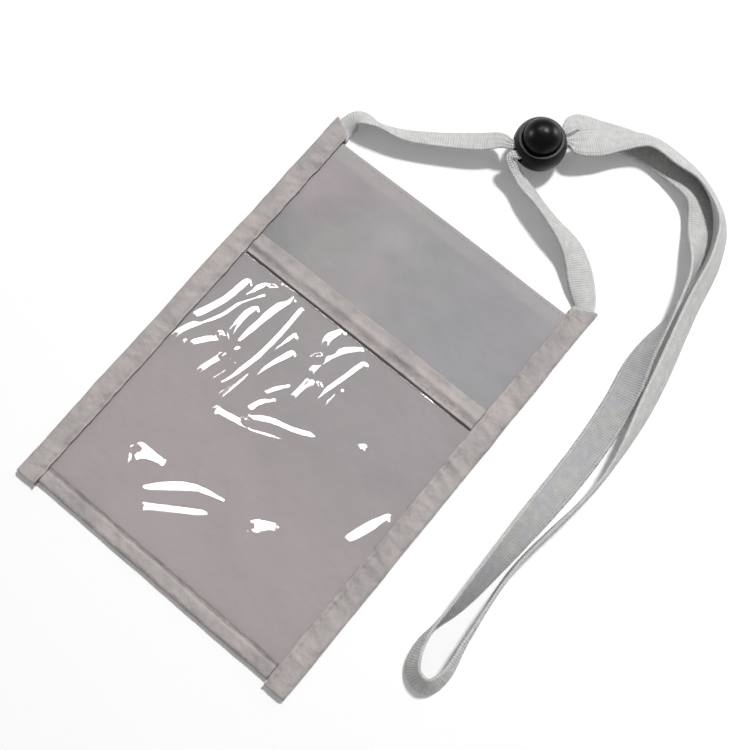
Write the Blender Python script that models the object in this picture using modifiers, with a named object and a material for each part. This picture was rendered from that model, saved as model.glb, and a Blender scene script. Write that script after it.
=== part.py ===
# A badge wallet on a neck strap: a sewn nylon pouch with a clear window, a flat woven strap and a cord lock.
# Metres, +Z up. The pouch lies on its back, window up, centred over the origin, with its top towards +Y.
# The strap and its lock lie on the same surface as the pouch, beyond its top edge and to its right.

from math import asin, cos, pi, radians, sin, sqrt

import bmesh
import bpy
from mathutils import Vector

# Gap that is kept between pieces that touch on the real object
CLEARANCE = 0.0003

# Pouch
POUCH_WIDTH = 0.127
POUCH_LENGTH = 0.181  # along the outer edge of a side binding

# Bindings: tapes folded over the edges
TAPE_CLOTH = 0.0004
TAPE_HEIGHT = 0.0033  # of the folded tape, lying down
SIDE_TAPE_WIDTH = 0.009
SIDE_TAPE_SLANT = 0.005  # its inner corner lies this much below its outer one, at the top
SIDE_TAPE_OVERRUN = 0.0015  # past the bottom edge
BOTTOM_TAPE_WIDTH = 0.0072
EDGE_INSET = 0.0011  # from the inside of a tape's fold to the edge of the sheets that it holds
FOLD_STEPS = 6

# Sheets
CLOTH = 0.0003
FILM = 0.0003
PANEL_DROP = 0.0075  # from the top of the bindings down to the panels' top edge
TOP_HEM_HEIGHT = 0.007
HEM_PLY_PITCH = 0.0004
WINDOW_HEIGHT = 0.1141  # from the bottom edge to the film's free top edge
WINDOW_MOUTH = 0.0005  # from the film's free edge to the hem above it
WINDOW_HEM_WIDTH = 0.0091
WINDOW_HEM_RIDGE = 0.0009  # between the middles of its plies, at the fold
WINDOW_HEM_LOW = 0.0004  # the same, at its lower edge

# Sewing threads
THREAD = 0.0004
SEAM_INSET = 0.0015
TACK_LENGTH = 0.0062
TACK_DROP = 0.0065  # from the top of the bindings

# Strap
STRAP_WIDTH = 0.0115
STRAP_THICKNESS = 0.0014
GATHERED_WIDTH = 0.0038
GATHERED_THICKNESS = 0.0022
STRAP_TUCK = 0.0065  # length that each end lies inside its binding
STRAP_TUCK_STEP = 0.005  # along it, to the next point of its route
END_GATHER_SHARE = 0.45
STRAP_STEP = 0.0125  # longest step between two sections of the strap
STRAP_BEND = radians(50)  # sharpest turn between them

# Cord lock
LOCK_X = 0.006
LOCK_Y = 0.1276
LOCK_TURN = radians(55)  # of the hole that the strap runs through, from +X
LOCK_HEIGHT = 0.0155  # of the barrel, up to its rim
BALL_RADIUS = 0.0103
RIM_RADIUS = 0.00865
RIM_WALL = 0.0011
RIM_STEP = 0.0007
STEM_RADIUS = 0.0066
DOME_RISE = 0.0008  # of the button's dome above the rim
BORE_FLOOR = 0.004
SEAT_FLOOR = 0.0018  # floor of the spring's seat in the barrel
RECESS_DEPTH = 0.0018  # of the spring's recess in the button
HOLE_WIDTH = 0.0098
HOLE_HEIGHT = 0.005
HOLE_ROUND = 0.001
STRAND_OFFSET = 0.0024  # of each strand from the middle of the hole
LOCK_GRIP = 0.0095  # half the length of strap that the lock keeps straight
HOLE_OVERRUN = 0.002
WIRE = 0.0005
SPRING_RADIUS = 0.0025  # to the middle of the wire
SPRING_TURNS = 4
SPRING_TURN_POINTS = 9
TURNED_STEPS = 40
WELD_SHARE = 0.01  # of the clearance, below which points of a turned solid become one
BALL_STEPS = 12
DOME_STEPS = 8

# Hand-chosen points of the strap: x, y, height of its lower edge over the surface, how far it is
# rolled over about its own run in degrees, and how much it is gathered, from 0, flat, to 1
LEFT_ARM = (
    (-0.0554, 0.0940, 0.0009, -30, 0.15),
    (-0.0485, 0.0958, 0.0005, -60, 0),
    (-0.0370, 0.1000, 0.0005, -46, 0),
    (-0.0143, 0.1143, 0.0032, -32, 0),
    (-0.0066, 0.1194, 0.0074, -16, 0.45),
)
LOOP = (
    (0.0110, 0.1439, 0.0072, -4, 0.50),
    (0.0205, 0.1494, 0.0022, -6, 0),
    (0.0330, 0.1546, 0.0005, -4, 0),
    (0.0480, 0.1553, 0.0005, -10, 0.05),
    (0.0645, 0.1518, 0.0005, -24, 0),
    (0.0737, 0.1411, 0.0005, -20, 0),
    (0.0812, 0.1241, 0.0005, -72, 0),
    (0.0847, 0.1061, 0.0005, -94, 0),
    (0.0860, 0.0874, 0.0005, -134, 0),
    (0.0900, 0.0687, 0.0005, -166, 0),
    (0.0920, 0.0435, 0.0005, -180, 0),
    (0.0912, 0.0080, 0.0005, -212, 0),
    (0.0898, -0.0250, 0.0005, -246, 0),
    (0.0877, -0.0447, 0.0005, -282, 0),
    (0.0917, -0.0547, 0.0005, -296, 0),
    (0.0985, -0.0557, 0.0005, -296, 0),
    (0.1013, -0.0495, 0.0005, -290, 0),
    (0.0995, -0.0340, 0.0005, -278, 0),
    (0.0970, -0.0060, 0.0005, -268, 0),
    (0.1019, 0.0420, 0.0005, -276, 0),
    (0.0978, 0.0745, 0.0005, -304, 0),
    (0.0888, 0.1143, 0.0005, -303, 0),
    (0.0848, 0.1346, 0.0005, -300, 0),
    (0.0777, 0.1487, 0.0005, -297, 0),
    (0.0627, 0.1571, 0.0010, -302, 0),
    (0.0513, 0.1582, 0.0018, -314, 0),
    (0.0372, 0.1572, 0.0024, -316, 0),
    (0.0280, 0.1495, 0.0040, -336, 0),
    (0.0224, 0.1424, 0.0079, -356, 0),
    (0.0163, 0.1362, 0.0099, -360, 0.35),
)
RIGHT_ARM = (
    (0.0083, 0.1130, 0.0044, -390, 0.75),
    (0.0175, 0.1107, 0.0016, -414, 0.15),
    (0.0275, 0.1080, 0.0008, -414, 0),
    (0.0410, 0.1040, 0.0005, -392, 0),
    (0.0515, 0.0958, 0.0007, -372, 0.10),
)
# Where the strap's points in the lock lie, and the corners of its section
OUTWARD_GRIP_SHARES = (-1.1, -0.7, 0.7, 1.1)
RETURN_GRIP_SHARES = (1.1, 0.7, -0.9, -1.3)
HALF_SECTION_SHARES = ((1, 0.4), (0.86, 1), (-0.86, 1), (-1, 0.4))

# Places that several pieces share
outer_x = POUCH_WIDTH / 2
inner_x = outer_x - SIDE_TAPE_WIDTH
top_y = POUCH_LENGTH / 2
bottom_y = SIDE_TAPE_OVERRUN - POUCH_LENGTH / 2
panel_top_y = top_y - PANEL_DROP
mouth_y = bottom_y + WINDOW_HEIGHT
sheet_edge_x = outer_x - TAPE_CLOTH - EDGE_INSET
sheet_bottom_y = bottom_y + TAPE_CLOTH + EDGE_INSET
fold_radius = (TAPE_HEIGHT - TAPE_CLOTH) / 2

# Levels of the sheets, each the height of its underside
back_z = TAPE_CLOTH + CLEARANCE
hem_z = back_z + CLOTH + CLEARANCE
front_z = hem_z + HEM_PLY_PITCH
film_z = front_z + CLOTH + CLEARANCE

# Levels in the lock
ball_z = LOCK_HEIGHT - sqrt(BALL_RADIUS**2 - RIM_RADIUS**2)
bore_radius = STEM_RADIUS + CLEARANCE
seat_radius = SPRING_RADIUS + WIRE / 2 + CLEARANCE
press_travel = HOLE_HEIGHT - GATHERED_THICKNESS - 2 * CLEARANCE
strand_z = ball_z + HOLE_HEIGHT / 2 - CLEARANCE - GATHERED_THICKNESS / 2
stem_bottom_z = BORE_FLOOR + CLEARANCE + press_travel

parts = bpy.data.collections.new("badge_wallet")
cutters = bpy.data.collections.new("cutters")


def clear_scene():
    for old in list(bpy.data.objects):
        bpy.data.objects.remove(old, do_unlink=True)
    bpy.context.scene.collection.children.link(parts)
    bpy.context.scene.collection.children.link(cutters)
    cutters.hide_render = True


def make_material(name, colour, roughness, metallic=0, alpha=1):
    material = bpy.data.materials.new(name)
    material.use_nodes = True
    material.diffuse_color = (*colour, alpha)
    shader = material.node_tree.nodes["Principled BSDF"]
    shader.inputs["Base Color"].default_value = (*colour, 1)
    shader.inputs["Roughness"].default_value = roughness
    shader.inputs["Metallic"].default_value = metallic
    shader.inputs["Alpha"].default_value = alpha
    return material


def add_piece(name, data, material):
    piece = bpy.data.objects.new(name, data)
    data.materials.append(material)
    parts.objects.link(piece)
    return piece


def add_plate(name, low, high, material):
    """A flat rectangular sheet between two corners."""
    mesh = bpy.data.meshes.new(name)
    shape = bmesh.new()
    bmesh.ops.create_cube(shape, size=1)
    bmesh.ops.scale(shape, vec=Vector(high) - Vector(low), verts=shape.verts)
    bmesh.ops.translate(shape, vec=(Vector(high) + Vector(low)) / 2, verts=shape.verts)
    shape.to_mesh(mesh)
    shape.free()
    return add_piece(name, mesh, material)


def arc(centre, radius, start, end, steps):
    """Points from one angle to another, both included."""
    angles = [start + (end - start) * step / steps for step in range(steps + 1)]
    return [(centre[0] + radius * cos(angle), centre[1] + radius * sin(angle)) for angle in angles]


def add_folded_sheet(name, profile, place, ends, cloth, material):
    """Sheet whose middle follows the profile, points of (across, up), drawn out along its run.

    place turns (across, along, up) into a point, and ends gives the run's two ends at a distance across.
    """
    mesh = bpy.data.meshes.new(name)
    shape = bmesh.new()
    row = [shape.verts.new(place(across, ends(across)[0], up)) for across, up in profile]
    edges = [shape.edges.new(pair) for pair in zip(row, row[1:])]
    drawn = bmesh.ops.extrude_edge_only(shape, edges=edges)["geom"]
    for vert in [item for item in drawn if isinstance(item, bmesh.types.BMVert)]:
        start = next(edge.other_vert(vert) for edge in vert.link_edges if edge.other_vert(vert) in row)
        across, up = profile[row.index(start)]
        vert.co = place(across, ends(across)[1], up)
    shape.to_mesh(mesh)
    shape.free()
    piece = add_piece(name, mesh, material)
    wall = piece.modifiers.new("cloth", "SOLIDIFY")
    wall.thickness = cloth
    wall.offset = 0
    wall.use_even_offset = True
    return piece


def tape_profile(open_edge, closed_edge):
    """Middle of a tape folded over an edge: lower leg, fold, upper leg."""
    way = 1 if closed_edge > open_edge else -1
    centre = (closed_edge - way * (TAPE_CLOTH / 2 + fold_radius), TAPE_HEIGHT / 2)
    fold = arc((0, 0), fold_radius, -pi / 2, pi / 2, FOLD_STEPS)
    bend = [(centre[0] + way * across, centre[1] + up) for across, up in fold]
    return [(open_edge, TAPE_CLOTH / 2), *bend, (open_edge, TAPE_HEIGHT - TAPE_CLOTH / 2)]


def slanted_end(x):
    """Top end of a side binding at a distance from the middle of the pouch."""
    return top_y - SIDE_TAPE_SLANT * (outer_x - x) / SIDE_TAPE_WIDTH


def along_x(across, along, up):
    return (along, across, up)


def add_side_binding(name, side, material):
    def place(across, along, up):
        return (side * across, along, up)

    def ends(across):
        return (-top_y, slanted_end(across))

    add_folded_sheet(name, tape_profile(inner_x, outer_x), place, ends, TAPE_CLOTH, material)


def add_bottom_binding(material):
    half = inner_x - CLEARANCE
    profile = tape_profile(bottom_y + BOTTOM_TAPE_WIDTH, bottom_y)
    add_folded_sheet("bottom_binding", profile, along_x, lambda across: (-half, half), TAPE_CLOTH, material)


def add_front_panel(material):
    """Front sheet, with its top edge turned in as a hem."""
    radius = HEM_PLY_PITCH / 2
    middle_z = front_z + CLOTH / 2
    fold_y = panel_top_y - CLOTH / 2 - radius
    profile = [(sheet_bottom_y, middle_z)]
    profile += arc((fold_y, middle_z - radius), radius, pi / 2, -pi / 2, FOLD_STEPS)
    profile += [(panel_top_y - TOP_HEM_HEIGHT, middle_z - HEM_PLY_PITCH)]
    ends = (-sheet_edge_x, sheet_edge_x)
    add_folded_sheet("front_panel", profile, along_x, lambda across: ends, CLOTH, material)


def add_window_hem(material):
    """Folded strip above the film's mouth, fuller at its fold than at its lower edge."""
    low_y = mouth_y + WINDOW_MOUTH
    radius = WINDOW_HEM_RIDGE / 2
    back = film_z + CLOTH / 2
    fold_y = low_y + WINDOW_HEM_WIDTH - CLOTH / 2 - radius
    profile = [(low_y, back), *arc((fold_y, back + radius), radius, -pi / 2, pi / 2, FOLD_STEPS)]
    profile += [(low_y, back + WINDOW_HEM_LOW)]
    half = inner_x - CLEARANCE
    add_folded_sheet("window_hem", profile, along_x, lambda across: (-half, half), CLOTH, material)


def add_thread(name, start, end, material):
    curve = bpy.data.curves.new(name, "CURVE")
    curve.dimensions = "3D"
    curve.bevel_depth = THREAD / 2
    curve.bevel_resolution = 2
    curve.use_fill_caps = True
    line = curve.splines.new("POLY")
    line.points.add(1)
    line.points[0].co = (*start, 1)
    line.points[1].co = (*end, 1)
    return add_piece(name, curve, material)


def add_threads(material):
    over_tape = TAPE_HEIGHT + CLEARANCE + THREAD / 2
    seam_x = inner_x + SEAM_INSET
    for name, side in (("left", -1), ("right", 1)):
        start = (side * seam_x, SEAM_INSET - top_y, over_tape)
        tack_y = top_y - TACK_DROP
        end = (side * seam_x, tack_y - SEAM_INSET, over_tape)
        add_thread(f"{name}_seam_thread", start, end, material)
        tack_x = sheet_edge_x - TACK_LENGTH
        first = (side * tack_x, tack_y, over_tape)
        add_thread(f"{name}_bar_tack", first, (side * sheet_edge_x, tack_y, over_tape), material)

    half = inner_x - SEAM_INSET
    bottom_seam_y = bottom_y + BOTTOM_TAPE_WIDTH - SEAM_INSET
    seam_ends = [(side * half, bottom_seam_y, over_tape) for side in (-1, 1)]
    add_thread("bottom_seam_thread", *seam_ends, material)

    top_seam = (panel_top_y - SEAM_INSET, front_z + CLOTH + CLEARANCE + THREAD / 2)
    add_thread("top_seam_thread", (-half, *top_seam), (half, *top_seam), material)

    slope = (WINDOW_HEM_RIDGE - WINDOW_HEM_LOW) / (WINDOW_HEM_WIDTH - CLOTH / 2 - WINDOW_HEM_RIDGE / 2)
    hem_top = film_z + CLOTH + WINDOW_HEM_LOW + slope * SEAM_INSET
    window_seam = (mouth_y + WINDOW_MOUTH + SEAM_INSET, hem_top + CLEARANCE + THREAD / 2)
    add_thread("window_seam_thread", (-half, *window_seam), (half, *window_seam), material)


def strap_size(gather):
    """Half the strap's width and half its thickness where it is gathered this much."""
    width = STRAP_WIDTH + (GATHERED_WIDTH - STRAP_WIDTH) * gather
    thickness = STRAP_THICKNESS + (GATHERED_THICKNESS - STRAP_THICKNESS) * gather
    return width / 2, thickness / 2


def lying_rows(rows):
    """Rows of a route with the height of the strap's middle in place of its lower edge's."""
    placed = []
    for x, y, clear, roll, gather in rows:
        half_width, half_thickness = strap_size(gather)
        rise = half_width * abs(sin(radians(roll))) + half_thickness * abs(cos(radians(roll)))
        placed.append((x, y, clear + rise, roll, gather))
    return placed


def lock_rows(offset, grip_shares, roll):
    """The strap's points inside the lock, on a strand beside the middle of its hole."""
    placed = []
    for share in grip_shares:
        along = share * LOCK_GRIP
        x = LOCK_X + along * cos(LOCK_TURN) - offset * sin(LOCK_TURN)
        y = LOCK_Y + along * sin(LOCK_TURN) + offset * cos(LOCK_TURN)
        placed.append((x, y, strand_z, roll, 1))
    return placed


def tucked_rows(side, roll):
    """The end of the strap in its binding, from its cut edge outwards."""
    half_width, half_thickness = strap_size(END_GATHER_SHARE)
    x = side * (sheet_edge_x - half_width)
    z = TAPE_HEIGHT / 2
    low_y = top_y - STRAP_TUCK
    return [(x, y, z, roll, END_GATHER_SHARE) for y in (low_y, low_y + STRAP_TUCK_STEP)]


def strap_route():
    rows = tucked_rows(-1, 0)
    rows += lying_rows(LEFT_ARM)
    rows += lock_rows(STRAND_OFFSET, OUTWARD_GRIP_SHARES, 0)
    rows += lying_rows(LOOP)
    rows += lock_rows(-STRAND_OFFSET, RETURN_GRIP_SHARES, -360)
    rows += lying_rows(RIGHT_ARM)
    rows += reversed(tucked_rows(1, -360))
    return [Vector(row) for row in rows]


def mix(first, second, start, end, time):
    return ((end - time) * first + (time - start) * second) / (end - start)


def smooth_line(points, longest_step, sharpest_turn):
    """Points on a centripetal Catmull-Rom curve through the route, whose extra numbers follow along."""
    guide = [2 * points[0] - points[1], *points, 2 * points[-1] - points[-2]]
    line = []
    for p0, p1, p2, p3 in zip(guide, guide[1:], guide[2:], guide[3:]):
        spans = [sqrt((b - a).xyz.length) for a, b in ((p0, p1), (p1, p2), (p2, p3))]
        t1 = spans[0]
        t2 = t1 + spans[1]
        t3 = t2 + spans[2]
        turn = (p1 - p0).xyz.angle((p3 - p2).xyz)
        steps = int(1 + (p2 - p1).xyz.length / longest_step + turn / sharpest_turn)
        for step in range(steps):
            time = t1 + (t2 - t1) * step / steps
            a1 = mix(p0, p1, 0, t1, time)
            a2 = mix(p1, p2, t1, t2, time)
            a3 = mix(p2, p3, t2, t3, time)
            b1 = mix(a1, a2, 0, t2, time)
            b2 = mix(a2, a3, t1, t3, time)
            line.append(mix(b1, b2, t1, t2, time))
    line.append(points[-1])
    return line


def add_strap(material):
    """Loft of the strap's section, which turns and gathers along its route."""
    line = smooth_line(strap_route(), STRAP_STEP, STRAP_BEND)
    last = len(line) - 1
    shape = bmesh.new()
    rings = []
    for index, (x, y, z, roll, gather) in enumerate(line):
        run = (line[min(index + 1, last)].xyz - line[max(index - 1, 0)].xyz).normalized()
        level = Vector((0, 0, 1)).cross(run).normalized()
        upright = run.cross(level)
        across = cos(radians(roll)) * level + sin(radians(roll)) * upright
        up = run.cross(across)
        half_width, half_thickness = strap_size(gather)
        middle = Vector((x, y, z))
        corners = []
        for share, rise in HALF_SECTION_SHARES:
            corners.append(across * half_width * share + up * half_thickness * rise)
        rings.append([shape.verts.new(middle + corner) for corner in corners])
        rings[-1] += [shape.verts.new(middle - corner) for corner in corners]
    for ring, following in zip(rings, rings[1:]):
        for corner in range(len(ring)):
            after = (corner + 1) % len(ring)
            shape.faces.new((ring[corner], following[corner], following[after], ring[after]))
    shape.faces.new(rings[0])
    shape.faces.new(reversed(rings[-1]))
    bmesh.ops.recalc_face_normals(shape, faces=shape.faces)
    mesh = bpy.data.meshes.new("neck_strap")
    shape.to_mesh(mesh)
    shape.free()
    add_piece("neck_strap", mesh, material)
    length = sum((b - a).xyz.length for a, b in zip(line, line[1:]))
    print(f"strap: {len(line)} sections, {length:.4f} m long")


def turned(name, profile, material):
    """Solid turned about the lock's axis from a profile that runs down its outer side."""
    mesh = bpy.data.meshes.new(name)
    count = len(profile)
    sides = [(index, (index + 1) % count) for index in range(count)]
    mesh.from_pydata([(radius, 0, z) for radius, z in profile], sides, [])
    draft = add_piece(name, mesh, material)
    turn = draft.modifiers.new("turn", "SCREW")
    turn.steps = TURNED_STEPS
    turn.render_steps = TURNED_STEPS
    turn.use_merge_vertices = True
    turn.merge_threshold = CLEARANCE * WELD_SHARE
    graph = bpy.context.evaluated_depsgraph_get()
    solid = bpy.data.meshes.new_from_object(draft.evaluated_get(graph))
    bpy.data.objects.remove(draft)
    shape = bmesh.new()
    shape.from_mesh(solid)
    bmesh.ops.remove_doubles(shape, verts=shape.verts, dist=CLEARANCE * WELD_SHARE)
    loose = [vert for vert in shape.verts if not vert.link_faces]
    bmesh.ops.delete(shape, geom=loose, context="VERTS")
    bmesh.ops.recalc_face_normals(shape, faces=shape.faces)
    shape.to_mesh(solid)
    shape.free()
    solid.shade_smooth()
    solid.set_sharp_from_angle(angle=radians(30))
    return add_piece(name, solid, material)


def add_hole(piece, centre_z):
    """Cuts the strap's way through a piece of the lock, along the lock's own X."""
    mesh = bpy.data.meshes.new(f"{piece.name}_hole")
    shape = bmesh.new()
    bmesh.ops.create_cube(shape, size=1)
    length = 2 * (BALL_RADIUS + HOLE_OVERRUN)
    bmesh.ops.scale(shape, vec=(length, HOLE_WIDTH, HOLE_HEIGHT), verts=shape.verts)
    long_edges = [edge for edge in shape.edges if abs((edge.verts[0].co - edge.verts[1].co).x) > HOLE_WIDTH]
    bmesh.ops.bevel(shape, geom=long_edges, offset=HOLE_ROUND, segments=3, profile=0.5, affect="EDGES")
    bmesh.ops.translate(shape, vec=(0, 0, centre_z), verts=shape.verts)
    shape.to_mesh(mesh)
    shape.free()
    cutter = bpy.data.objects.new(mesh.name, mesh)
    cutters.objects.link(cutter)
    cutter.hide_render = True
    cutter.display_type = "WIRE"
    cutter.parent = piece
    cut = piece.modifiers.new("strap_way", "BOOLEAN")
    cut.object = cutter


def add_barrel(material):
    """Round barrel with a flat base, a rim round the button and a bore that is open at the top."""
    start = asin((LOCK_HEIGHT - ball_z) / BALL_RADIUS)
    end = -asin(ball_z / BALL_RADIUS)
    profile = arc((0, ball_z), BALL_RADIUS, start, end, BALL_STEPS)
    profile += [(0, 0), (0, SEAT_FLOOR), (seat_radius, SEAT_FLOOR), (seat_radius, BORE_FLOOR)]
    profile += [(bore_radius, BORE_FLOOR), (bore_radius, LOCK_HEIGHT - RIM_STEP)]
    profile += [(RIM_RADIUS - RIM_WALL, LOCK_HEIGHT - RIM_STEP), (RIM_RADIUS - RIM_WALL, LOCK_HEIGHT)]
    barrel = turned("lock_barrel", profile, material)
    barrel.location = (LOCK_X, LOCK_Y, 0)
    barrel.rotation_euler = (0, 0, LOCK_TURN)
    add_hole(barrel, ball_z)
    return barrel


def add_plunger(barrel, material):
    """Button: a dome on a stem, with the strap's way through it and the spring's recess in its foot."""
    dome_z = LOCK_HEIGHT + DOME_RISE
    profile = arc((0, dome_z), STEM_RADIUS, pi / 2, 0, DOME_STEPS)
    profile += [(STEM_RADIUS, stem_bottom_z), (seat_radius, stem_bottom_z)]
    profile += [(seat_radius, stem_bottom_z + RECESS_DEPTH), (0, stem_bottom_z + RECESS_DEPTH)]
    plunger = turned("lock_plunger", profile, material)
    plunger.parent = barrel
    add_hole(plunger, ball_z + press_travel)


def add_spring(barrel, material):
    """Coil spring from its seat in the barrel to its recess in the button."""
    low = SEAT_FLOOR + CLEARANCE + WIRE / 2
    high = stem_bottom_z + RECESS_DEPTH - CLEARANCE - WIRE / 2
    curve = bpy.data.curves.new("lock_spring", "CURVE")
    curve.dimensions = "3D"
    curve.bevel_depth = WIRE / 2
    curve.bevel_resolution = 1
    curve.use_fill_caps = True
    line = curve.splines.new("POLY")
    count = SPRING_TURNS * SPRING_TURN_POINTS
    line.points.add(count)
    for index, point in enumerate(line.points):
        angle = 2 * pi * index / SPRING_TURN_POINTS
        height = low + (high - low) * index / count
        point.co = (SPRING_RADIUS * cos(angle), SPRING_RADIUS * sin(angle), height, 1)
    spring = add_piece("lock_spring", curve, material)
    spring.parent = barrel
    places = [point.co.xyz for point in line.points]
    pairs = [(a, b) for i, a in enumerate(places) for b in places[i + SPRING_TURN_POINTS // 2 :]]
    gap = min((a - b).length for a, b in pairs) - WIRE
    print(f"spring: {len(places)} points, least gap between curls {gap:.5f} m")


def build():
    clear_scene()
    nylon = make_material("nylon", (0.39, 0.355, 0.362), 0.45)
    tape = make_material("nylon_tape", (0.42, 0.385, 0.39), 0.5)
    vinyl = make_material("clear_vinyl", (0.80, 0.80, 0.80), 0.05, alpha=0.25)
    lace = make_material("woven_lace", (0.62, 0.62, 0.61), 0.85)
    thread = make_material("thread", (0.45, 0.42, 0.42), 0.7)
    plastic = make_material("black_plastic", (0.008, 0.008, 0.009), 0.25)
    steel = make_material("spring_steel", (0.60, 0.60, 0.62), 0.3, metallic=1)

    corner = (-sheet_edge_x, sheet_bottom_y)
    add_plate("back_panel", (*corner, back_z), (sheet_edge_x, panel_top_y, back_z + CLOTH), nylon)
    add_front_panel(nylon)
    add_plate("window_film", (*corner, film_z), (sheet_edge_x, mouth_y, film_z + FILM), vinyl)
    add_window_hem(nylon)
    add_bottom_binding(tape)
    add_side_binding("left_binding", -1, tape)
    add_side_binding("right_binding", 1, tape)
    add_threads(thread)
    add_strap(lace)
    barrel = add_barrel(plastic)
    add_plunger(barrel, plastic)
    add_spring(barrel, steel)


build()
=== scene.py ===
from math import asin, cos, exp, pi, radians, sin, sqrt

import bmesh
import bpy
import numpy as np
from mathutils import Matrix, Vector, noise


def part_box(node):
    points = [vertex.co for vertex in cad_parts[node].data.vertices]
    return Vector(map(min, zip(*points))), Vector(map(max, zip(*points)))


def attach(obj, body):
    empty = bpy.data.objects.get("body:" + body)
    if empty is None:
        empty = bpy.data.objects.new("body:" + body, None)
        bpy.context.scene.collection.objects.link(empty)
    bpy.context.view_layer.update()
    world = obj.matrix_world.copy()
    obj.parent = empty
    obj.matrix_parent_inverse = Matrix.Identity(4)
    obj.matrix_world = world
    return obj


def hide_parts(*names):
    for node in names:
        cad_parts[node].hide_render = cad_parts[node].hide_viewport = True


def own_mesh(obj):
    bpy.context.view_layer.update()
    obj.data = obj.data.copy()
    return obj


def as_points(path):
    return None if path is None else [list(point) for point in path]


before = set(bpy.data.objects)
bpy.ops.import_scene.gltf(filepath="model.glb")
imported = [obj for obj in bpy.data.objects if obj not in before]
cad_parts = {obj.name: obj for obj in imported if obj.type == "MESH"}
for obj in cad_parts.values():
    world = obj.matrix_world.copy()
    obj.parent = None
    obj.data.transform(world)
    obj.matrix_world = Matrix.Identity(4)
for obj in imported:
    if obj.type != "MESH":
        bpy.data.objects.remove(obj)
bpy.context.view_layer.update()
scene = bpy.context.scene
scene.view_settings.view_transform = "Standard"
mm = 0.001


# Camera

shot = {
    "target": (0.0137, 0.0196, 0.0),
    "azimuth": 38.83,
    "elevation": 75.88,
    "roll": 0.72,
    "distance": 0.445,
    "lens": 57.6,
}


def viewWay():
    # From the target towards the camera
    azimuth, elevation = radians(shot["azimuth"]), radians(shot["elevation"])
    return Vector((sin(azimuth) * cos(elevation), -cos(azimuth) * cos(elevation), sin(elevation)))


def makeCamera():
    azimuth, roll = radians(shot["azimuth"]), radians(shot["roll"])
    back = viewWay()
    level = Vector((cos(azimuth), sin(azimuth), 0))
    upright = back.cross(level)
    right = level * cos(roll) + upright * sin(roll)
    up = upright * cos(roll) - level * sin(roll)
    camera = bpy.data.objects.new("camera", bpy.data.cameras.new("camera"))
    camera.data.lens = shot["lens"]
    camera.data.clip_start = 10 * mm
    turn = Matrix((right, up, back)).transposed().to_4x4()
    camera.matrix_world = Matrix.Translation(Vector(shot["target"]) + back * shot["distance"]) @ turn
    scene.collection.objects.link(camera)
    scene.camera = camera


# Meshes

def addPiece(name, bm, materials, smooth=True):
    mesh = bpy.data.meshes.new(name)
    bm.to_mesh(mesh)
    bm.free()
    piece = bpy.data.objects.new(name, mesh)
    scene.collection.objects.link(piece)
    for material in materials:
        mesh.materials.append(material)
    if smooth:
        mesh.shade_smooth()
    return piece


def gridShape(columns, rows, place, size=(1, 1)):
    # A grid whose points go where place(u, v) says, u and v from 0 to 1, with a UV map in metres
    bm = bmesh.new()
    weave = bm.loops.layers.uv.new("weave")
    bmesh.ops.create_grid(bm, x_segments=columns, y_segments=rows, size=0.5, calc_uvs=True)
    for face in bm.faces:
        for corner in face.loops:
            u, v = corner.vert.co.x + 0.5, corner.vert.co.y + 0.5
            corner[weave].uv = (u * size[0], v * size[1])
    for vert in bm.verts:
        vert.co = place(vert.co.x + 0.5, vert.co.y + 0.5)
    return bm


def closeUp(bm, distance):
    bmesh.ops.remove_doubles(bm, verts=bm.verts, dist=distance)
    bmesh.ops.holes_fill(bm, edges=bm.edges, sides=0)
    bmesh.ops.recalc_face_normals(bm, faces=bm.faces)
    return bm


def thicken(piece, thickness, rim=0):
    wall = piece.modifiers.new("cloth", "SOLIDIFY")
    wall.thickness = thickness
    wall.offset = 0
    wall.use_even_offset = True
    wall.material_offset_rim = rim
    return piece


def arcPoints(centre, radius, start, end, steps):
    angles = stepped(start, end, steps)
    return [(centre[0] + radius * cos(angle), centre[1] + radius * sin(angle)) for angle in angles]


def stepped(start, end, steps):
    return [start + (end - start) * step / steps for step in range(steps + 1)]


def foldedProfile(start, turn, end, low, high, steps, foldSteps):
    # A leg out to the turn, the fold and a leg back, as (across, up), and how many points lie before the fold
    way = 1 if turn > start else -1
    half = (high - low) / 2
    first = [(across, low) for across in stepped(start, turn, steps[0])[:-1]]
    bends = stepped(-pi / 2, pi / 2, foldSteps)
    fold = [(turn + way * abs(half) * cos(bend), low + half + half * sin(bend)) for bend in bends]
    second = [(across, high) for across in stepped(turn, end, steps[1])[1:]]
    return first + fold + second, len(first)


def fade(value, start, end):
    share = min(max((value - start) / (end - start), 0), 1)
    return share * share * (3 - 2 * share)


def ripple(x, y, z=0.0):
    return noise.noise(Vector((x, y, z)))


# Materials

def addNode(tree, kind, sockets=None, **settings):
    made = tree.nodes.new("ShaderNode" + kind)
    for key, value in settings.items():
        setattr(made, key, value)
    for key, value in (sockets or {}).items():
        if isinstance(value, bpy.types.NodeSocket):
            tree.links.new(value, made.inputs[key])
        else:
            made.inputs[key].default_value = value
    return made


def calc(tree, operation, first, second=0.0, third=0.0):
    return addNode(tree, "Math", {0: first, 1: second, 2: third}, operation=operation).outputs[0]


def times(tree, first, second):
    return calc(tree, "MULTIPLY", first, second)


def acrossAndAlong(tree, place):
    parts = addNode(tree, "SeparateXYZ", {"Vector": place}).outputs
    return parts["X"], parts["Y"]


def mixColour(tree, share, first, second, **settings):
    # A colour is a socket or plain red, green and blue
    ends = [(*end, 1) if isinstance(end, tuple) else end for end in (first, second)]
    sockets = {"Factor": share, 6: ends[0], 7: ends[1]}
    return addNode(tree, "Mix", sockets, data_type="RGBA", **settings).outputs[2]


def cloudiness(tree, place, scale, detail=2.0, roughness=0.5):
    sockets = {"Vector": place, "Scale": scale, "Detail": detail, "Roughness": roughness}
    return addNode(tree, "TexNoise", sockets).outputs["Fac"]


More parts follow.
